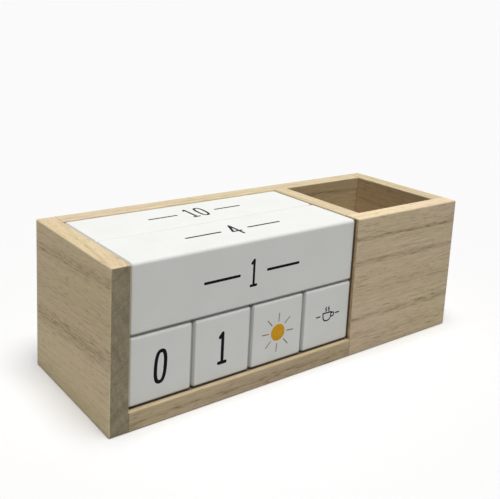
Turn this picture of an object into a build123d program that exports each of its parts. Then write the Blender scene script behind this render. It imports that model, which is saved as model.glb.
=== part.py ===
from build123d import *
import os

# A desk calendar and pen holder of pale wood. Seven boards, glued edge to face, make a case
# with two wells: an open-fronted bay for the calendar blocks and a deep well for pens.
# Four day cubes stand in the bay's front row, a month bar lies on them, and two more month
# bars lie one on the other behind. Every block lifts or slides out to be turned by hand.
# X runs along the case with the pens at +X, -Y is the front, +Z is up, and the origin is the
# middle of the underside.

os.makedirs("parts", exist_ok=True)

# Sizes that are set by themselves, in millimetres
board = 11.0         # thickness of every board of the case
block = 38.5         # side of a day cube, and of a month bar's square end
side_play = 0.3      # room beside and behind each block
seat_play = 0.2      # room under each block
rim_drop = 0.4       # how far the upper blocks' tops lie below the rim
front_recess = 2.4   # how far the blocks' faces stand back from the case's front
well_width = 71.5    # pen well, wall to wall
case_ease = 0.9      # radius of the sanded edges of the case
block_round = 2.0    # radius of the rounded edges of the blocks

cube_names = ("tens_cube", "units_cube", "weather_cube", "activity_cube")

# What follows from them
pitch = block + side_play
bay_width = len(cube_names) * pitch + side_play
length = board + bay_width + board + well_width + board
depth = front_recess + 2 * pitch + board
height = board + 2 * (seat_play + block) + rim_drop

left, right = -length / 2, length / 2
front, back = -depth / 2, depth / 2
bay_left = left + board
bay_right = bay_left + bay_width
well_left = bay_right + board
well_right = well_left + well_width
well_front = front + board
rear_wall = back - board

first_block = bay_left + side_play
front_rank = front + front_recess
rear_rank = front_rank + pitch
lower_tier = board + seat_play
upper_tier = lower_tier + block + seat_play


def box_between(low, high):
    """The box with these two opposite corners."""
    size = [top - bottom for bottom, top in zip(low, high)]
    return Pos(*low) * Box(*size, align=(Align.MIN, Align.MIN, Align.MIN))


def sanded_case():
    """The whole case as it is after glueing: its wells cut out and every outer edge sanded."""
    case = box_between((left, front, 0), (right, back, height))
    above = height + board
    before = front - board
    case -= box_between((bay_left, before, board), (bay_right, rear_wall, above))
    case -= box_between((well_left, well_front, board), (well_right, rear_wall, above))
    outer_edges = [edge for edge in case.edges() if not edge.is_interior]
    return fillet(outer_edges, case_ease)


def board_places():
    """Each board's corners: the sides are full height and the other boards butt against them."""
    return {
        "left_side": ((left, front, 0), (bay_left, back, height)),
        "back_board": ((bay_left, rear_wall, 0), (well_right, back, height)),
        "right_side": ((well_right, well_front, 0), (right, back, height)),
        "pen_front_panel": ((bay_right, front, 0), (right, well_front, height)),
        "divider": ((bay_right, well_front, 0), (well_left, rear_wall, height)),
        "bay_floor": ((bay_left, front, 0), (bay_right, rear_wall, board)),
        "pen_floor": ((well_left, well_front, 0), (well_right, rear_wall, board)),
    }


def rounded_block(corner, width):
    """A calendar block of square section with all its edges rounded."""
    x, y, z = corner
    plain = box_between(corner, (x + width, y + block, z + block))
    return fillet(plain.edges(), block_round)


def day_cubes():
    """The row of cubes at the bay's front, left to right."""
    return {
        name: rounded_block((first_block + place * pitch, front_rank, lower_tier), block)
        for place, name in enumerate(cube_names)
    }


def month_bars():
    """Three bars as long as the row of cubes: four months on each make the year."""
    bar_length = bay_width - 2 * side_play
    corners = {
        "month_bar_front": (first_block, front_rank, upper_tier),
        "month_bar_rear": (first_block, rear_rank, upper_tier),
        "month_bar_lower": (first_block, rear_rank, lower_tier),
    }
    return {name: rounded_block(corner, bar_length) for name, corner in corners.items()}


case_form = sanded_case()
pieces = {
    name: case_form & box_between(*corners) for name, corners in board_places().items()
}
pieces.update(day_cubes())
pieces.update(month_bars())

for name, piece in pieces.items():
    piece.label = name
    export_step(piece, f"parts/{name}.step")

print(f"case {length:.1f} x {depth:.1f} x {height:.1f} mm, {len(pieces)} pieces")
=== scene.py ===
import math
import bpy
import numpy as np
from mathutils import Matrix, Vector


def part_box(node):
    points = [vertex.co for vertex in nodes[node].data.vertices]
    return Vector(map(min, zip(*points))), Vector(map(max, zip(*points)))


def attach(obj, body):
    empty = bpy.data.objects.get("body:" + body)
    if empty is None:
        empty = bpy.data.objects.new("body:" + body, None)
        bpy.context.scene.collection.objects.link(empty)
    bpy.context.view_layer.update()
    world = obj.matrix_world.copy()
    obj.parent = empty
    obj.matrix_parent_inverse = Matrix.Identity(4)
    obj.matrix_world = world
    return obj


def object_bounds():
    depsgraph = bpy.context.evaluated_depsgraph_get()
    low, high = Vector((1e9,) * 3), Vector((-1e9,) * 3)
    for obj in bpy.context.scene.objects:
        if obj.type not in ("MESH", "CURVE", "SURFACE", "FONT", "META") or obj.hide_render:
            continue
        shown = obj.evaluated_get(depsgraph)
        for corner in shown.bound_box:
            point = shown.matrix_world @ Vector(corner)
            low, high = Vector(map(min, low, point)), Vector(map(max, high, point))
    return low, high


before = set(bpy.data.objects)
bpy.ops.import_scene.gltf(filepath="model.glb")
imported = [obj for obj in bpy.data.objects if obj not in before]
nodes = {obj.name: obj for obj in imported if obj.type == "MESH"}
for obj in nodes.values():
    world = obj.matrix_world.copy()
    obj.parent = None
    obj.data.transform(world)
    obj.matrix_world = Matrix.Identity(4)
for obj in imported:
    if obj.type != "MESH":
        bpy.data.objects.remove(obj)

# A wooden desk calendar with a pen well. The boards get their grain, the blocks their paint, and
# the cubes' faces and the bars' long faces their printed numbers and signs. Metres throughout.

cadLow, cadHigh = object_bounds()
print("frame loaded:", len(nodes), "nodes")

noiseRange = (0.3, 0.7)    # nearly all the values of a noise lie between these


def startMaterial(name):
    material = bpy.data.materials.new(name)
    material.use_nodes = True
    tree = material.node_tree
    return material, tree, tree.nodes["Principled BSDF"]


def plug(tree, value, socket):
    # a number or colour is set on the socket, another node's output is linked to it
    if isinstance(value, bpy.types.NodeSocket):
        tree.links.new(value, socket)
    else:
        socket.default_value = value


def sums(tree, operation, first, second=None, third=None):
    node = tree.nodes.new("ShaderNodeMath")
    node.operation = operation
    for value, socket in zip((first, second, third), node.inputs):
        if value is not None:
            plug(tree, value, socket)
    return node.outputs[0]


def times(tree, first, second):
    return sums(tree, "MULTIPLY", first, second)


def distance(tree, value, place):
    return sums(tree, "ABSOLUTE", sums(tree, "SUBTRACT", value, place))


def point(tree, x, y, z):
    node = tree.nodes.new("ShaderNodeCombineXYZ")
    for value, socket in zip((x, y, z), node.inputs):
        plug(tree, value, socket)
    return node.outputs[0]


def apart(tree, vector):
    # the three numbers of a vector
    node = tree.nodes.new("ShaderNodeSeparateXYZ")
    plug(tree, vector, node.inputs[0])
    return list(node.outputs)


def facings(tree, normal):
    # how squarely the surface looks along each axis, either way, and the largest of the three,
    # which is 1 on a flat face and less on a rounded edge
    facing = [sums(tree, "ABSOLUTE", value) for value in normal]
    larger = sums(tree, "MAXIMUM", facing[0], facing[1])
    return facing, sums(tree, "MAXIMUM", larger, facing[2])


def noise(tree, where, mark):
    # the pattern of one kind of mark at a place; on one number in place of three it draws lines
    # where that number is steady
    node = tree.nodes.new("ShaderNodeTexNoise")
    onOneNumber = where.type == "VALUE"
    node.noise_dimensions = "1D" if onOneNumber else "3D"
    plug(tree, where, node.inputs["W" if onOneNumber else "Vector"])
    node.inputs["Scale"].default_value = mark["scale"]
    node.inputs["Detail"].default_value = mark["detail"]
    node.inputs["Roughness"].default_value = mark.get("roughness", 0.5)
    return node.outputs["Fac"]


def spread(tree, value, low, high, toLow=0.0, toHigh=1.0, smooth=False):
    node = tree.nodes.new("ShaderNodeMapRange")
    node.interpolation_type = "SMOOTHSTEP" if smooth else "LINEAR"
    plug(tree, value, node.inputs["Value"])
    node.inputs["From Min"].default_value = low
    node.inputs["From Max"].default_value = high
    node.inputs["To Min"].default_value = toLow
    node.inputs["To Max"].default_value = toHigh
    return node.outputs["Result"]


def windowed(tree, value, mark):
    # the window of a value that counts, brought to 0 to 1 or to the mark's own range
    return spread(tree, value, *mark.get("window", noiseRange), *mark.get("to", (0.0, 1.0)))


def blendColors(tree, amount, first, second, kind="MIX"):
    # an amount below 0 counts as 0, and one above 1 as 1
    node = tree.nodes.new("ShaderNodeMix")
    node.data_type = "RGBA"
    node.blend_type = kind
    plug(tree, amount, node.inputs["Factor"])
    plug(tree, first, node.inputs[6])    # sockets 6 and 7 are the two colours
    plug(tree, second, node.inputs[7])
    return node.outputs[2]


def tinted(tree, color, share):
    # a colour, fixed or from a node, times one number
    return blendColors(tree, 1.0, color, point(tree, share, share, share), "MULTIPLY")


def toned(color, tone):
    # a fixed colour times another
    return [channel * share for channel, share in zip(color, tone)] + [1]


def coat(tree, surface, color, roughness, gloss):
    plug(tree, color, surface.inputs["Base Color"])
    plug(tree, roughness, surface.inputs["Roughness"])
    surface.inputs["Specular IOR Level"].default_value = gloss


def giveRelief(tree, surface, height, finish):
    bump = tree.nodes.new("ShaderNodeBump")
    bump.inputs["Distance"].default_value = finish["bumpDepth"]
    bump.inputs["Strength"].default_value = finish["bumpStrength"]
    plug(tree, height, bump.inputs["Height"])
    plug(tree, bump.outputs["Normal"], surface.inputs["Normal"])


def addObject(name, data):
    added = bpy.data.objects.new(name, data)
    bpy.context.collection.objects.link(added)
    return added


shot = {
    "place": (-0.28413, -0.33799, 0.21317),
    "turn": (78.674, -2.406, -36.179),       # degrees about X, Y and Z
    "lens": 52.96,                           # mm, as is the sensor's width
    "sensor": 36.0,
    "shift": (0.05, -0.199),
    "clip": (0.01, 20.0),                    # nearest and farthest that it sees
}

studio = {
    "floorSide": 30.0,
    "floorSeen": (0.84, 0.84, 0.84, 1),      # the floor's white in the picture
    "floorLights": (0.62, 0.62, 0.62, 1),    # and for the light that it throws back
    "floorRoughness": 0.9,
    "skySeen": (0.955, 0.955, 0.955, 1),     # what shows above the floor, as white as its far end
    "skyLights": (1, 1, 1, 1),               # and the surroundings' light on the object
    "skyStrength": 0.035,
    "keyStrength": 3.50,
    "keyBreadth": 36.0,                      # degrees that the lamp spans, for soft shadows
    "keyFrom": (-0.02, -0.13, 1.0),          # the way to the lamp
}


def placeCamera():
    lens = bpy.data.cameras.new("camera")
    lens.sensor_width = shot["sensor"]
    lens.lens = shot["lens"]
    lens.shift_x, lens.shift_y = shot["shift"]
    lens.clip_start, lens.clip_end = shot["clip"]
    camera = addObject("camera", lens)
    camera.location = shot["place"]
    camera.rotation_euler = [math.radians(angle) for angle in shot["turn"]]
    bpy.context.scene.camera = camera


def seenRays(tree):
    # 1 for what the camera sees, directly, in a reflection or through glass, and 0 for light
    rays = tree.nodes.new("ShaderNodeLightPath").outputs
    indirect = sums(tree, "MAXIMUM", rays["Is Glossy Ray"], rays["Is Transmission Ray"])
    return sums(tree, "MAXIMUM", rays["Is Camera Ray"], indirect)


def setSky():
    # a faint even light on the object, and nearly white for what the camera or a reflection sees
    world = bpy.data.worlds.new("sky")
    bpy.context.scene.world = world
    world.use_nodes = True
    tree = world.node_tree
    tree.nodes.clear()
    light = tree.nodes.new("ShaderNodeBackground")
    light.inputs["Color"].default_value = studio["skyLights"]
    light.inputs["Strength"].default_value = studio["skyStrength"]
    white = tree.nodes.new("ShaderNodeBackground")
    white.inputs["Color"].default_value = studio["skySeen"]
    mix = tree.nodes.new("ShaderNodeMixShader")
    out = tree.nodes.new("ShaderNodeOutputWorld")
    plug(tree, seenRays(tree), mix.inputs[0])
    plug(tree, light.outputs[0], mix.inputs[1])
    plug(tree, white.outputs[0], mix.inputs[2])
    plug(tree, mix.outputs[0], out.inputs["Surface"])


def hangKeyLight():
    # one broad far lamp, high and a little in front, so that the blocks' upper edges catch it and
    # the fronts and the left stay in soft shade
    lamp = bpy.data.lights.new("key", "SUN")
    lamp.energy = studio["keyStrength"]
    lamp.angle = math.radians(studio["keyBreadth"])
    key = addObject("key", lamp)
    key.rotation_mode = "QUATERNION"
    key.rotation_quaternion = Vector(studio["keyFrom"]).to_track_quat("Z", "Y")


def layFloor():
    half = studio["floorSide"] / 2
    mesh = bpy.data.meshes.new("floor")
    corners = [(-half, -half, 0), (half, -half, 0), (half, half, 0), (-half, half, 0)]
    mesh.from_pydata(corners, [], [(0, 1, 2, 3)])
    paper, tree, surface = startMaterial("paperFloor")
    color = blendColors(tree, seenRays(tree), studio["floorLights"], studio["floorSeen"])
    coat(tree, surface, color, studio["floorRoughness"], 0.0)
    mesh.materials.append(paper)
    floor = addObject("floor", mesh)


placeCamera()
setSky()
hangKeyLight()
layFloor()
bpy.context.scene.view_settings.view_transform = "Standard"
print("camera, light and floor set")


wood = {
    "pale": (0.722, 0.602, 0.422),
    "yellower": (0.985, 1.000, 0.94),   # the two tones that the pale wood drifts between
    "rosier": (1.020, 0.985, 1.04),
    "brown": (0.430, 0.370, 0.300),     # what the dark marks multiply the pale wood by, at full
    # how squarely the surface looks along an axis where each kind of place sets in and is full
    "endFacing": (0.75, 0.97),
    "flatFacing": (0.90, 0.99),
    "edgeFacing": (0.995, 0.90),
    "edgeWearAndHighlight": 1.06,                  # sanded edges are paler, partly as a painted highlight on the arrises
    "glueAndShadeColor": (0.12, 0.08, 0.045, 1),     # the colour of glue lines and of the painted shadow lines beside the blocks
    "seamStrength": 0.5,
    "seamHalfWidth": 0.00014,
    "seamFacing": (0.5, 0.6),           # faces that look along a joint show no glue line
    # the painted shadow line in the gaps beside and under the blocks
    "gapShadeStrength": 0.85,
    "gapShadeHalfWidths": (0.0010, 0.0005),  # where the painted shadow line sets in and where it is full
    "roughness": (0.56, 0.74),
    "gloss": 0.3,
    "bumpDepth": 0.00008,
    "bumpStrength": 0.8,
}

# The marks in the wood, nearly all from a noise. A small share of the length along the grain
# draws a mark out long, window is the part of the noise that counts, "to" is what it is brought
# to, and strength is how dark the mark is at full.
grainMarks = {
    # how far the growth rings stray in metres, slowly and in small ripples
    "wander": {"share": 0.22, "scale": 38, "detail": 2, "window": (0, 1), "to": (-0.0022, 0.0022)},
    "ripple": {"share": 0.35, "scale": 330, "detail": 2, "window": (0, 1), "to": (-0.0007, 0.0007)},
    # fine growth lines, the patches they come in, and how much stronger they are looking up
    "fineLines": {"scale": 620, "detail": 3, "window": (0.42, 0.70), "strength": 0.20},
    "patches": {"share": 0.12, "scale": 160, "detail": 2, "window": (0.35, 0.65), "to": (0.3, 1.0)},
    "upward": {"window": (0.8, 0.95), "to": (1.0, 1.7)},
    "fibres": {"share": 0.05, "scale": 1300, "detail": 3, "roughness": 0.65,
               "window": (0.38, 0.66), "strength": 0.22},
    # dashes, the growth zones in which they thin out, and how they crowd in the dark bands
    "dashes": {"share": 0.13, "scale": 1000, "detail": 2, "window": (0.56, 0.72), "strength": 0.38},
    "zones": {"scale": 75, "detail": 1, "window": (0.36, 0.64), "to": (0.50, 1.20)},
    "crowdedDashes": {"window": (0.36, 0.60), "to": (0.30, 1.0)},
    "pores": {"share": 0.10, "scale": 2300, "detail": 1, "roughness": 0.4,
              "window": (0.62, 0.76), "strength": 0.34},
    "clouds": {"share": 0.22, "scale": 22, "detail": 3, "to": (-0.08, 0.12)},
    "drift": {"share": 0.45, "scale": 26, "detail": 2, "window": (0.36, 0.64)},
    # on the end grain: cut pores, streaks that lean, and faint rings
    "speckle": {"scale": 800, "detail": 3, "roughness": 0.7, "to": (0.80, 1.18)},
    "streaks": {"share": 0.8, "lean": 3.0, "scale": 90, "detail": 2,
                "window": (0.32, 0.68), "to": (0.84, 1.14)},
    "endLines": {"scale": 240, "detail": 2, "window": (0.35, 0.7), "to": (1.08, 0.86)},
}

# Each board: the axis its grain follows and the axis across its width, where the log's heart lay
# as (across, through), how far the lines slope along the board, its seed, its tint, the colour of
# its end grain, the painted light and shade on its upward faces, and its dark bands of late growth
# as (place across, how far through the board from 0 to 1, half width, strength). A painted shadow
# line in the gap beside or under the blocks is (how far behind the board's front, the axis its
# face looks along, the side it looks to).
boardLooks = {
    "left_side": {
        "grain": 1, "across": 2, "heart": (-0.160, 0.020), "slant": 0.068, "seed": 3.1,
        "tint": (1.06, 1.03, 0.94), "ends": (0.296, 0.250, 0.158, 1), "topPaintedLight": 0.97,
        "bands": [(0.0772, 0, 0.0055, 0.40), (0.0372, 0, 0.0078, 0.46), (0.0560, 0, 0.0170, 0.12)],
    },
    "back_board": {
        "grain": 0, "across": 2, "heart": (0.260, 0.180), "slant": 0.0, "seed": 7.7,
        "tint": (1.03, 1.03, 0.98), "ends": (0.360, 0.314, 0.211, 1), "topPaintedLight": 0.96,
        "bands": [(0.071, 1, 0.0025, 0.45), (0.048, 1, 0.0040, 0.40), (0.020, 1, 0.003, 0.5)],
    },
    "right_side": {
        "grain": 1, "across": 2, "heart": (-0.180, -0.020), "slant": -0.04, "seed": 12.4,
        "tint": (1.03, 1.02, 0.96), "ends": (0.360, 0.314, 0.211, 1), "topPaintedLight": 0.92,
        "bands": [(0.066, 1, 0.0030, 0.34), (0.043, 1, 0.0025, 0.28), (0.017, 1, 0.004, 0.4)],
    },
    "pen_front_panel": {
        "grain": 0, "across": 2, "heart": (-0.190, 0.100), "slant": 0.0, "seed": 21.9,
        "tint": (0.98, 0.96, 0.92), "ends": (0.500, 0.372, 0.210, 1), "topPaintedLight": 1.26,
        "bands": [(0.0755, 0, 0.0027, 0.55), (0.0600, 0, 0.0027, 0.50), (0.0238, 0, 0.0033, 0.58),
                  (0.0420, 0, 0.0045, 0.12), (0.0100, 0, 0.0130, 0.22)],
        "gapShade": (0.0030, 0, -1),
    },
    "divider": {
        "grain": 1, "across": 2, "heart": (0.240, 0.180), "slant": 0.03, "seed": 30.2,
        "tint": (1.04, 1.03, 0.97), "ends": (0.360, 0.314, 0.211, 1), "topPaintedLight": 1.02,
        "bands": [(0.060, 1, 0.0025, 0.4)],
    },
    "bay_floor": {
        "grain": 0, "across": 1, "heart": (-0.160, 0.120), "slant": 0.0, "seed": 41.6,
        "tint": (0.79, 0.76, 0.70), "ends": (0.300, 0.262, 0.176, 1), "topPaintedLight": 1.0,
        "bands": [(-0.0455, 0.45, 0.0020, 0.45)],
        "gapShade": (0.0030, 2, 1),
    },
    "pen_floor": {
        "grain": 0, "across": 1, "heart": (0.160, 0.120), "slant": 0.0, "seed": 52.3,
        "tint": (1.04, 1.03, 0.98), "ends": (0.300, 0.262, 0.176, 1), "topPaintedLight": 1.0,
        "bands": [(0.0, 1, 0.0030, 0.4)],
    },
}


def seamPlaces(name):
    # the planes where this board meets a neighbour: faces of its box inside the case's box
    low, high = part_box(name)
    leastInside = 0.0005
    places = []
    for axis in range(3):
        for place, outer in ((low[axis], cadLow[axis]), (high[axis], cadHigh[axis])):
            if abs(place - outer) > leastInside:
                places.append((axis, place))
    return places


def paintWood(name, look):
    material, tree, surface = startMaterial("wood_" + name)
    low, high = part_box(name)
    grain, across, seed = look["grain"], look["across"], look["seed"]
    through = 3 - grain - across
    coords = tree.nodes.new("ShaderNodeTexCoord").outputs
    spot = apart(tree, coords["Object"])
    normal = apart(tree, coords["Normal"])
    facing, flattest = facings(tree, normal)
    alongGrain, throughBoard = spot[grain], spot[through]

    # where the saw went a little off the log's line, the lines slope along the board
    acrossGrain = sums(tree, "MULTIPLY_ADD", alongGrain, look["slant"], spot[across])

    def drawnOut(kind):
        # a mark's noise, with the length along the grain drawn in to the mark's share
        mark = grainMarks[kind]
        along = sums(tree, "MULTIPLY_ADD", alongGrain, mark["share"], seed)
        return noise(tree, point(tree, along, acrossGrain, throughBoard), mark)

    def shown(kind, value=None):
        # the window of that noise, or of a value that is given
        if value is None:
            value = drawnOut(kind)
        return windowed(tree, value, grainMarks[kind])

    # a growth ring is where the distance from the log's heart, sqrt(across^2 + through^2) with a
    # little straying, is steady
    heartAcross, heartThrough = look["heart"]
    a = sums(tree, "SUBTRACT", acrossGrain, heartAcross)
    t = sums(tree, "SUBTRACT", throughBoard, heartThrough)
    ring = sums(tree, "SQRT", sums(tree, "ADD", times(tree, a, a), times(tree, t, t)))
    ring = sums(tree, "ADD", ring, sums(tree, "ADD", shown("wander"), shown("ripple")))
    seededRing = sums(tree, "ADD", ring, seed)

    def onRings(kind):
        return shown(kind, noise(tree, seededRing, grainMarks[kind]))

    # fine growth lines in patches, stronger on the upward edges, which cut across the rings
    strength = times(tree, shown("patches"), shown("upward", facing[2]))
    strength = times(tree, strength, grainMarks["fineLines"]["strength"])
    shade = times(tree, onRings("fineLines"), strength)

    def darker(shade, kind, value):
        return sums(tree, "MULTIPLY_ADD", value, grainMarks[kind]["strength"], shade)

    # long thin fibres, short dark dashes along the grain, and open pores
    fibre = drawnOut("fibres")
    dash = drawnOut("dashes")
    scarce = times(tree, shown("dashes", dash), onRings("zones"))
    shade = darker(shade, "fibres", shown("fibres", fibre))
    shade = darker(shade, "dashes", scarce)
    shade = darker(shade, "pores", shown("pores"))

    # dark bands of late growth, in which the dashes crowd; the face cuts the rings at a slant, so
    # a band's half width on the face is less across the rings
    crowded = shown("crowdedDashes", dash)
    for place, depth, halfWidth, strength in look["bands"]:
        inBoard = low[through] + depth * (high[through] - low[through])
        radius = math.hypot(place - heartAcross, inBoard - heartThrough)
        tilt = abs(place - heartAcross) / radius
        band = spread(tree, distance(tree, ring, radius), halfWidth * tilt, 0.0, smooth=True)
        shade = sums(tree, "ADD", shade, times(tree, times(tree, band, crowded), strength))

    # slow clouds of tone over the board, and the pale wood's drift between its two tones
    shade = sums(tree, "ADD", shade, shown("clouds"))
    pale = toned(wood["pale"], look["tint"])
    yellower, rosier = toned(pale, wood["yellower"]), toned(pale, wood["rosier"])
    clear = blendColors(tree, shown("drift"), yellower, rosier)
    color = blendColors(tree, shade, clear, toned(pale, wood["brown"]))

    # end grain is darker, speckled by cut pores, streaked across and only faintly ringed
    endPoint = point(tree, acrossGrain, throughBoard, seed)
    speckle = shown("speckle", noise(tree, endPoint, grainMarks["speckle"]))
    streaks = grainMarks["streaks"]
    leaning = sums(tree, "MULTIPLY_ADD", throughBoard, streaks["lean"], acrossGrain)
    streakPoint = point(tree, times(tree, acrossGrain, streaks["share"]), leaning, seed)
    streaked = shown("streaks", noise(tree, streakPoint, streaks))
    endTone = times(tree, times(tree, speckle, onRings("endLines")), streaked)
    end = spread(tree, facing[grain], *wood["endFacing"], smooth=True)
    color = blendColors(tree, end, color, tinted(tree, look["ends"], endTone))

    # on the sanded edges no facing is full, and the wood there is paler, partly a painted highlight
    edge = spread(tree, flattest, *wood["edgeFacing"], 1.0, wood["edgeWearAndHighlight"])
    # painted light and shade on the upward faces
    top = spread(tree, facing[2], *wood["flatFacing"], 1.0, look["topPaintedLight"])
    color = tinted(tree, tinted(tree, color, edge), top)

    # a painted shadow line behind the front edge, in the gap beside or under the blocks, on the
    # one face that looks along the given axis to the given side
    if "gapShade" in look:
        behind, axis, side = look["gapShade"]
        fromLine = distance(tree, spot[1], low[1] + behind)
        shadeLine = spread(tree, fromLine, *wood["gapShadeHalfWidths"], 0.0, wood["gapShadeStrength"])
        setsIn, full = wood["flatFacing"]
        level = spread(tree, normal[axis], setsIn * side, full * side)
        color = blendColors(tree, times(tree, shadeLine, level), color, wood["glueAndShadeColor"])

    # a hair of dark glue line where the board meets its neighbours
    hair = wood["seamHalfWidth"]
    for axis, place in seamPlaces(name):
        fromJoint = distance(tree, spot[axis], place)
        glue = spread(tree, fromJoint, hair * 2, hair, 0.0, wood["seamStrength"])
        showing = spread(tree, facing[axis], *wood["seamFacing"], 1.0, 0.0)
        color = blendColors(tree, times(tree, glue, showing), color, wood["glueAndShadeColor"])

    coat(tree, surface, color, spread(tree, fibre, *noiseRange, *wood["roughness"]), wood["gloss"])
    giveRelief(tree, surface, sums(tree, "SUBTRACT", fibre, scarce), wood)
    return material


def dress(name, material):
    for slot in nodes[name].material_slots:
        slot.material = material


for name, look in boardLooks.items():
    dress(name, paintWood(name, look))
print("boards grained")


paint = {
    "white": (0.800, 0.808, 0.775, 1),
    "thin": (0.755, 0.758, 0.715, 1),   # where the paint is thinner and the wood dulls it
    "thinness": {"scale": 45, "detail": 3, "window": (0.35, 0.75), "to": (0.0, 0.6)},
    # how squarely the surface looks along an axis where an edge sets in and is full, and how much
    # an edge looks to an end, or down, where its painted shade sets in and is full
    "edgeFacing": (0.995, 0.94),
    "endFacing": (0.0, 0.4),
    "lowFacing": (-0.1, -0.5),
    "endEdgeShadeTone": 0.64,                    # painted shade on the rounded edges of the ends, in the gaps between the blocks
    "lowEdgeShadeTone": 0.34,                    # and painted shadow on the edges underneath
    "strokes": {"share": 0.06, "scale": 900, "detail": 3},
    "peel": {"strength": 0.6, "scale": 1100, "detail": 2},
    "roughness": (0.40, 0.52),
    "gloss": 0.4,
    "bumpDepth": 0.00004,
    "bumpStrength": 0.5,
    "seedStep": 1.7,
}

blocks = ("tens_cube", "units_cube", "weather_cube", "activity_cube",
          "month_bar_front", "month_bar_rear", "month_bar_lower")


def paintBlock(name, seed):
    material, tree, surface = startMaterial("paint_" + name)
    coords = tree.nodes.new("ShaderNodeTexCoord").outputs
    x, y, z = apart(tree, coords["Object"])
    normal = apart(tree, coords["Normal"])
    facing, flattest = facings(tree, normal)

    # white with thinner clouds, with painted shade along the edges of the ends
    # and painted shadow along the edges underneath
    here = point(tree, sums(tree, "ADD", x, seed), y, z)
    thinness = windowed(tree, noise(tree, here, paint["thinness"]), paint["thinness"])
    color = blendColors(tree, thinness, paint["white"], paint["thin"])
    edge = spread(tree, flattest, *paint["edgeFacing"], smooth=True)
    endEdgeShade = times(tree, edge, spread(tree, facing[0], *paint["endFacing"]))
    gapShade = times(tree, edge, spread(tree, normal[2], *paint["lowFacing"]))
    # painted shade in the gaps between the blocks, and painted shadow under them
    color = tinted(tree, color, spread(tree, endEdgeShade, 0, 1, 1, paint["endEdgeShadeTone"]))
    color = tinted(tree, color, spread(tree, gapShade, 0, 1, 1, paint["lowEdgeShadeTone"]))

    # brush strokes along the row of blocks, over a fine peel
    brushed = point(tree, sums(tree, "MULTIPLY_ADD", x, paint["strokes"]["share"], seed), y, z)
    strokes = noise(tree, brushed, paint["strokes"])
    peel = noise(tree, here, paint["peel"])
    height = sums(tree, "MULTIPLY_ADD", peel, paint["peel"]["strength"], strokes)
    roughness = spread(tree, strokes, *noiseRange, *paint["roughness"])
    coat(tree, surface, color, roughness, paint["gloss"])
    giveRelief(tree, surface, height, paint)
    return material


for order, name in enumerate(blocks):
    dress(name, paintBlock(name, paint["seedStep"] * order))
print("blocks painted")


ink = {
    "rise": 0.00006,            # how far the print stands off the paint
    "black": (0.004, 0.004, 0.005, 1),
    "sun": (0.690, 0.350, 0.019, 1),
    "ray": (0.235, 0.160, 0.060, 1),
    "blotches": {"scale": 700, "detail": 3, "window": (0.35, 0.75)},
    "lighter": (1.25, 0.003),   # in a blotch the colour is times the first and plus the second
    "roughness": (0.45, 0.60),
    "gloss": 0.05,
    "spanSteps": 9,             # points along a straight run, and along a curve from knot to knot
    "sectionPoints": 8,         # points around a stroke
    "capRows": 5,               # rows in which a stroke's round end is drawn in
    "capTurn": 84,              # degrees of the quarter circle that they cover
}


def inkMaterial(name, color):
    material, tree, surface = startMaterial(name)
    coords = tree.nodes.new("ShaderNodeTexCoord").outputs
    blotch = windowed(tree, noise(tree, coords["Object"], ink["blotches"]), ink["blotches"])
    gain, plus = ink["lighter"]
    lighter = [min(1, channel * gain + plus) for channel in color[:3]] + [1]
    inkColor = blendColors(tree, blotch, color, lighter)
    coat(tree, surface, inkColor, spread(tree, blotch, 0, 1, *ink["roughness"]), ink["gloss"])
    return material


blackInk = inkMaterial("blackInk", ink["black"])
sunInk = inkMaterial("sunInk", ink["sun"])
rayInk = inkMaterial("rayInk", ink["ray"])


# A stroke's path is an array of (right, up) points, and a sign is a list of such paths.

def arc(cx, cy, rx, ry, start, end, count=33):
    # on an ellipse, from one angle to another in degrees: centre + (rx*cos(angle), ry*sin(angle))
    angle = np.radians(np.linspace(start, end, count))
    return np.column_stack([cx + rx * np.cos(angle), cy + ry * np.sin(angle)])


def line(*ends):
    # straight runs between a few points: from + (to - from)*u, with u from 0 to 1
    ends = np.array(ends, float)
    u = np.linspace(0, 1, ink["spanSteps"])[:, None]
    runs = [a + (b - a) * u for a, b in zip(ends[:-1], ends[1:])]
    return np.vstack([runs[0]] + [run[1:] for run in runs[1:]])


def rulePair(inner, outer):
    # a level rule on each side of the middle
    return [line((side * inner, 0), (side * outer, 0)) for side in (-1, 1)]


def curve(*knots):
    # a smooth curve through the knots: from b to c each span is the cubic whose slope at b is half
    # the way from a to c, and at c half the way from b to d, a and d being the knots beside them
    p = np.array(knots, float)
    p = np.vstack([2 * p[0] - p[1], p, 2 * p[-1] - p[-2]])
    u = np.linspace(0, 1, ink["spanSteps"])[None, :, None]
    a, b, c, d = (p[i:len(p) - 3 + i, None, :] for i in range(4))
    span = 0.5 * (2 * b + (c - a) * u + (2 * a - 5 * b + 4 * c - d) * u**2
                  + (3 * b - a - 3 * c + d) * u**3)
    return np.vstack([span[:, :-1].reshape(-1, 2), span[-1, -1:]])


def fullOval(halfWidth, fullness, count):
    # an oval one unit high with straighter sides: |x/halfWidth|^fullness + |2y|^fullness = 1
    angle = np.radians(np.linspace(90, 450, count))
    c, s = np.cos(angle), np.sin(angle)
    x = halfWidth * np.sign(c) * np.abs(c)**(2 / fullness)
    y = 0.5 * np.sign(s) * np.abs(s)**(2 / fullness)
    return np.column_stack([x, y])


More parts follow.
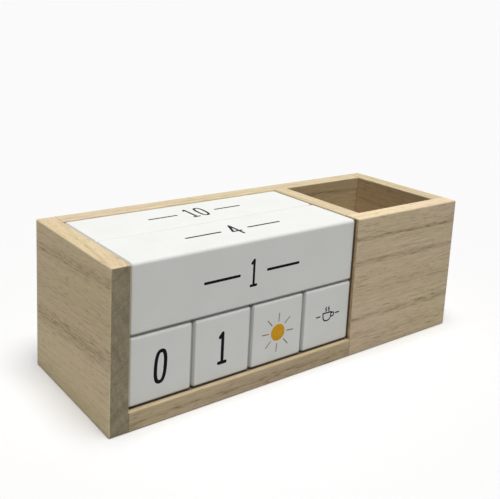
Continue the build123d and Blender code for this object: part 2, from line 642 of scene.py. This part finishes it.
# Digits one unit high, standing on 0 and centred on x = 0; the 0 leans a little, x + 0.06*y
digitHalfWidth = 0.2
leaning = [[1, 0], [.06, 1]]
six = [curve((.11, 1), (-.05, .83), (-.16, .56), (-.19, .28), (-.13, .07), (.01, 0),
             (.15, .08), (.19, .27), (.14, .46), (0, .54), (-.13, .47), (-.18, .35))]
digits = {
    "0": [fullOval(.17, 2.6, 49) @ leaning + [-.02, .5]],
    "1": [line((-.10, .88), (0, 1)), line((0, 1), (0, 0)), line((-.13, 0), (.13, 0))],
    "2": [curve((-.17, .80), (-.11, .95), (.02, 1), (.15, .93), (.19, .76), (.12, .54),
                (-.03, .28), (-.19, 0)), line((-.19, 0), (.20, 0))],
    "3": [curve((-.17, .89), (-.04, 1), (.12, .95), (.16, .76), (.08, .59), (-.05, .54)),
          curve((-.05, .54), (.12, .49), (.19, .30), (.14, .07), (0, 0), (-.13, .03), (-.19, .13))],
    "4": [line((.08, 1), (-.20, .32)), line((-.20, .32), (.20, .32)), line((.08, 1), (.08, 0))],
    "5": [line((.17, 1), (-.13, 1)), line((-.13, 1), (-.15, .57)),
          curve((-.15, .57), (0, .62), (.14, .54), (.19, .31), (.13, .09), (-.02, 0), (-.18, .07))],
    "6": six,
    "7": [line((-.18, 1), (.19, 1)), line((.19, 1), (-.05, 0))],
    "8": [arc(0, .27, .19, .27, 90, 450, 41), arc(0, .768, .155, .232, -90, 270, 41)],
    "9": [np.array([0, 1]) - stroke for stroke in six],
}


def writeNumber(text, height, spacing=0.0):
    # the digits side by side, centred on the origin
    strokes = []
    for place, digit in enumerate(text):
        offset = (place - (len(text) - 1) / 2) * spacing
        for stroke in digits[digit]:
            strokes.append((stroke - [0, 0.5]) * height + [offset, 0])
    return strokes


def closedSkin(grid, ring=False):
    # faces over a grid of points, rows by points around, with the last row joined to the first
    # or, where it isn't a ring, a cap at both ends
    index = np.arange(grid.shape[0] * grid.shape[1]).reshape(grid.shape[:2])
    here = index if ring else index[:-1]
    following = np.roll(index, -1, 0) if ring else index[1:]
    quads = np.dstack([here, following, np.roll(following, -1, 1), np.roll(here, -1, 1)])
    polygons = quads.reshape(-1, 4).tolist()
    if not ring:
        polygons += [index[0].tolist(), index[-1, ::-1].tolist()]
    return grid.reshape(-1, 3), polygons


def sweptStroke(path, halfWidth):
    # a flat elliptical section carried along the path, w being its half width, which is drawn in
    # over a round cap at each end: point = path + side*w*cos(f), out = rise*sin(f)*w/halfWidth
    ring = np.allclose(path[0], path[-1])
    if ring:
        path = path[:-1]
        step = np.roll(path, -1, 0) - np.roll(path, 1, 0)
    else:
        step = np.gradient(path, axis=0)
    forward = step / np.linalg.norm(step, axis=1)[:, None]
    widths = np.full(len(path), halfWidth)
    if not ring:
        # cap rows lie halfWidth*sin(q) past the end and have the half width halfWidth*cos(q)
        q = np.radians(np.linspace(0, ink["capTurn"], ink["capRows"]))[1:]
        past, narrow = halfWidth * np.sin(q), halfWidth * np.cos(q)
        head = path[0] - forward[0] * past[::-1, None]
        tail = path[-1] + forward[-1] * past[:, None]
        path = np.vstack([head, path, tail])
        forward = np.vstack([np.repeat(forward[:1], len(q), 0), forward,
                             np.repeat(forward[-1:], len(q), 0)])
        widths = np.concatenate([narrow[::-1], widths, narrow])
    side = np.column_stack([forward[:, 1], -forward[:, 0]])
    f = np.linspace(0, 2 * np.pi, ink["sectionPoints"], endpoint=False)
    flat = path[:, None, :] + side[:, None, :] * (widths[:, None] * np.cos(f))[:, :, None]
    lift = ink["rise"] * np.sin(f) * (widths / halfWidth)[:, None]
    return closedSkin(np.dstack([flat, lift]), ring)


# The faces of a block: outward, rightward and upward directions for someone who reads it.
# Turning a block about X or Z brings each of them upright to the front.
faces = {
    "front": ((0, -1, 0), (1, 0, 0), (0, 0, 1)),
    "top": ((0, 0, 1), (1, 0, 0), (0, 1, 0)),
    "back": ((0, 1, 0), (1, 0, 0), (0, 0, -1)),
    "under": ((0, 0, -1), (1, 0, 0), (0, -1, 0)),
    "left": ((-1, 0, 0), (0, -1, 0), (0, 0, 1)),
    "right": ((1, 0, 0), (0, 1, 0), (0, 0, 1)),
}


def layOnFace(block, face, points):
    # point = middle of the face + right*first + up*second + out*third
    low, high = (np.array(corner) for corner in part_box(block))
    out, right, up = (np.array(way, float) for way in faces[face])
    middle = (low + high) / 2 + out * (high - low) / 2
    return middle + points @ np.array([right, up, out])


def makePrint(name, block, parts, material):
    # one mesh on one block, from parts that are each (face, points, polygons)
    vertices, polygons = [], []
    for face, points, skin in parts:
        start = sum(len(laid) for laid in vertices)
        vertices.append(layOnFace(block, face, points))
        polygons += [[start + corner for corner in polygon] for polygon in skin]
    mesh = bpy.data.meshes.new(name)
    mesh.from_pydata(np.vstack(vertices).tolist(), [], polygons)
    mesh.materials.append(material)
    mesh.shade_smooth()
    piece = addObject(name, mesh)
    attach(piece, block)


def printSigns(name, block, signs, halfWidth, material=blackInk):
    # the strokes of the sign on each face
    parts = [(face, *sweptStroke(stroke, halfWidth))
             for face, strokes in signs.items() for stroke in strokes]
    makePrint(name, block, parts, material)


# Day cubes: two cubes with six digits each give every date, with the 6 turned over for a 9.
dayNumber = {
    "height": 0.0170,
    "halfWidth": 0.00104,
    "drop": 0.0006,        # how far below the face's middle the digit is centred
}
dayFaces = {
    "tens_cube": {"front": "0", "top": "1", "back": "2", "under": "3", "left": "4", "right": "5"},
    "units_cube": {"front": "1", "top": "2", "back": "0", "under": "6", "left": "7", "right": "8"},
}
for block, numbers in dayFaces.items():
    signs = {}
    for face, digit in numbers.items():
        strokes = writeNumber(digit, dayNumber["height"])
        signs[face] = [stroke - [0, dayNumber["drop"]] for stroke in strokes]
    printSigns(block + "_print", block, signs, dayNumber["halfWidth"])
print("day numbers printed")


# Month bars: the month's number between two plain rules, four to a bar.
monthNumber = {
    "height": 0.0146,
    "halfWidth": 0.00080,
    "spacing": 0.0082,
    "reach": 0.0325,       # from the middle to the far end of a rule
    "margin": 0.0070,      # clear paint between number and rule
}
monthFaces = {
    "month_bar_front": {"front": "1", "top": "4", "back": "7", "under": "12"},
    "month_bar_rear": {"front": "9", "top": "10", "back": "3", "under": "6"},
    "month_bar_lower": {"front": "2", "top": "5", "back": "8", "under": "11"},
}


def ruledNumber(text):
    height, spacing = monthNumber["height"], monthNumber["spacing"]
    half = (len(text) - 1) * spacing / 2 + height * digitHalfWidth
    rules = rulePair(half + monthNumber["margin"], monthNumber["reach"])
    return writeNumber(text, height, spacing) + rules


for block, numbers in monthFaces.items():
    signs = {face: ruledNumber(text) for face, text in numbers.items()}
    printSigns(block + "_print", block, signs, monthNumber["halfWidth"])
print("month numbers printed")


# Weather cube: the sun in front, plain weather signs on the other faces.
sun = {
    "place": (0.0005, -0.0012),
    "radius": 0.0051,
    "thickness": 1.3,          # of the disc, against the rest of the print
    "rows": 13,                # of the disc's points from its front to its back, and points in each
    "around": 48,
    "poleTurn": 87,            # degrees from the disc's rim to its first and last row
    "rays": 8,
    "rayInner": 0.0068,
    "rayOuter": 0.0116,
    "rayHalfWidth": 0.00030,
    "rayTurn": 87,             # degrees of the first ray from the rightward direction
}
weather = {
    "halfWidth": 0.00055,
    "snowArm": 0.0100,         # from the middle to an arm's tip
    "snowFork": 0.0062,        # and to where its twigs start
    "snowTwig": 0.0033,
    "snowLean": 40,            # degrees between arm and twig
}


def direction(degrees):
    # one unit at this angle from the rightward direction
    angle = math.radians(degrees)
    return np.array([math.cos(angle), math.sin(angle)])


def sunDisc():
    # a flat closed lens: point = centre + radius*cos(p)*(cos(f), sin(f)), out = rise*sin(p)
    p = np.radians(np.linspace(sun["poleTurn"], -sun["poleTurn"], sun["rows"]))[:, None]
    f = np.linspace(0, 2 * np.pi, sun["around"], endpoint=False)[None, :]
    reach = sun["radius"] * np.cos(p)
    rise = ink["rise"] * sun["thickness"]
    cx, cy = sun["place"]
    return closedSkin(np.dstack([cx + reach * np.cos(f), cy + reach * np.sin(f),
                                 rise * np.sin(p) * np.ones_like(f)]))


def sunRays():
    ways = [direction(sun["rayTurn"] + 360 * k / sun["rays"]) for k in range(sun["rays"])]
    return [line(way * sun["rayInner"], way * sun["rayOuter"]) + sun["place"] for way in ways]


def cloudSign(lift=0.0):
    cloud = [arc(-.0062, -.0012, .0040, .0038, 100, 270, 17),
             arc(.0062, -.0016, .0036, .0034, -90, 75, 17),
             arc(-.0002, .0020, .0056, .0052, 12, 168, 25),
             line((-.0062, -.0050), (.0062, -.0050))]
    return [stroke + [0, lift] for stroke in cloud]


def rainSign():
    drops = [line((x, -.0078), (x - .0012, -.0112)) for x in (-.0045, 0, .0045)]
    return cloudSign(.0030) + drops


def snowSign():
    # three crossing arms, with two twigs near each tip
    strokes = []
    for turn in (90, 150, 210):
        tip = direction(turn) * weather["snowArm"]
        strokes.append(line(-tip, tip))
        for end in (turn, turn + 180):
            fork = direction(end) * weather["snowFork"]
            for lean in (-weather["snowLean"], weather["snowLean"]):
                strokes.append(line(fork, fork + direction(end + lean) * weather["snowTwig"]))
    return strokes


def stormSign():
    bolt = [line((.0012, -.0016), (-.0018, -.0066)), line((-.0018, -.0066), (.0016, -.0066)),
            line((.0016, -.0066), (-.0012, -.0118))]
    return cloudSign(.0045) + bolt


def windSign():
    # two lines that curl up at their right end
    return [np.vstack([line((-.010, y), (x, y)), arc(x, y + r, r, r, -90, 150, 17)[1:]])
            for y, x, r in ((.0010, .0045, .0030), (-.0040, .0070, .0022))]


weatherSigns = {"top": cloudSign(), "back": rainSign(), "under": snowSign(),
                "left": stormSign(), "right": windSign()}
makePrint("weather_sun_print", "weather_cube", [("front", *sunDisc())], sunInk)
printSigns("weather_rays_print", "weather_cube", {"front": sunRays()}, sun["rayHalfWidth"],
           rayInk)
printSigns("weather_signs_print", "weather_cube", weatherSigns, weather["halfWidth"])
print("weather signs printed")


# Activity cube: a small plain sign between two short rules on each face.
activity = {
    "halfWidth": 0.00042,
    "size": 0.80,              # of the signs as they are drawn below
    "place": (0.0010, 0.0006),
    "ruleFrom": 0.0064,
    "ruleTo": 0.0092,
}


def cupSign():
    bowl = [line((-.0050, .0018), (.0034, .0018)),
            curve((-.0050, .0018), (-.0046, -.0020), (-.0028, -.0042), (.0012, -.0042),
                  (.0030, -.0020), (.0034, .0018)),
            curve((.0034, .0010), (.0058, .0008), (.0058, -.0016), (.0030, -.0020))]
    steam = [curve((x, .0032), (x + .0007, .0042), (x - .0003, .0052), (x + .0004, .0062))
             for x in (-.0022, .0006)]
    return bowl + steam


def houseSign():
    return [line((-.0052, .0005), (0, .0050)), line((0, .0050), (.0052, .0005)),
            line((-.0038, .0014), (-.0038, -.0045)), line((.0038, .0014), (.0038, -.0045)),
            line((-.0038, -.0045), (.0038, -.0045))]


def clockSign():
    hands = [line((0, 0), (0, .0032)), line((0, 0), (.0024, -.0008))]
    return [arc(0, 0, .0050, .0050, 90, 450)] + hands


def letterSign():
    corners = [(-.0058, .0038), (.0058, .0038), (.0058, -.0038), (-.0058, -.0038), (-.0058, .0038)]
    sides = [line(a, b) for a, b in zip(corners[:-1], corners[1:])]
    return sides + [line((-.0058, .0038), (0, -.0006)), line((0, -.0006), (.0058, .0038))]


def heartSign():
    half = curve((0, .0022), (.0022, .0046), (.0050, .0030), (.0042, -.0004), (0, -.0046))
    return [half, half * [-1, 1]]


def bookSign():
    page = [curve((0, .0032), (.0028, .0040), (.0056, .0032)),
            line((.0056, .0032), (.0056, -.0040)),
            curve((.0056, -.0040), (.0028, -.0032), (0, -.0040))]
    return page + [stroke * [-1, 1] for stroke in page] + [line((0, .0032), (0, -.0040))]


def ruledSign(strokes):
    rules = rulePair(activity["ruleFrom"], activity["ruleTo"])
    sized = [stroke * activity["size"] for stroke in strokes]
    return [stroke + activity["place"] for stroke in sized + rules]


activitySigns = {"front": cupSign(), "top": houseSign(), "back": clockSign(),
                 "under": letterSign(), "left": heartSign(), "right": bookSign()}
signs = {face: ruledSign(strokes) for face, strokes in activitySigns.items()}
printSigns("activity_signs_print", "activity_cube", signs, activity["halfWidth"])
print("activity signs printed")
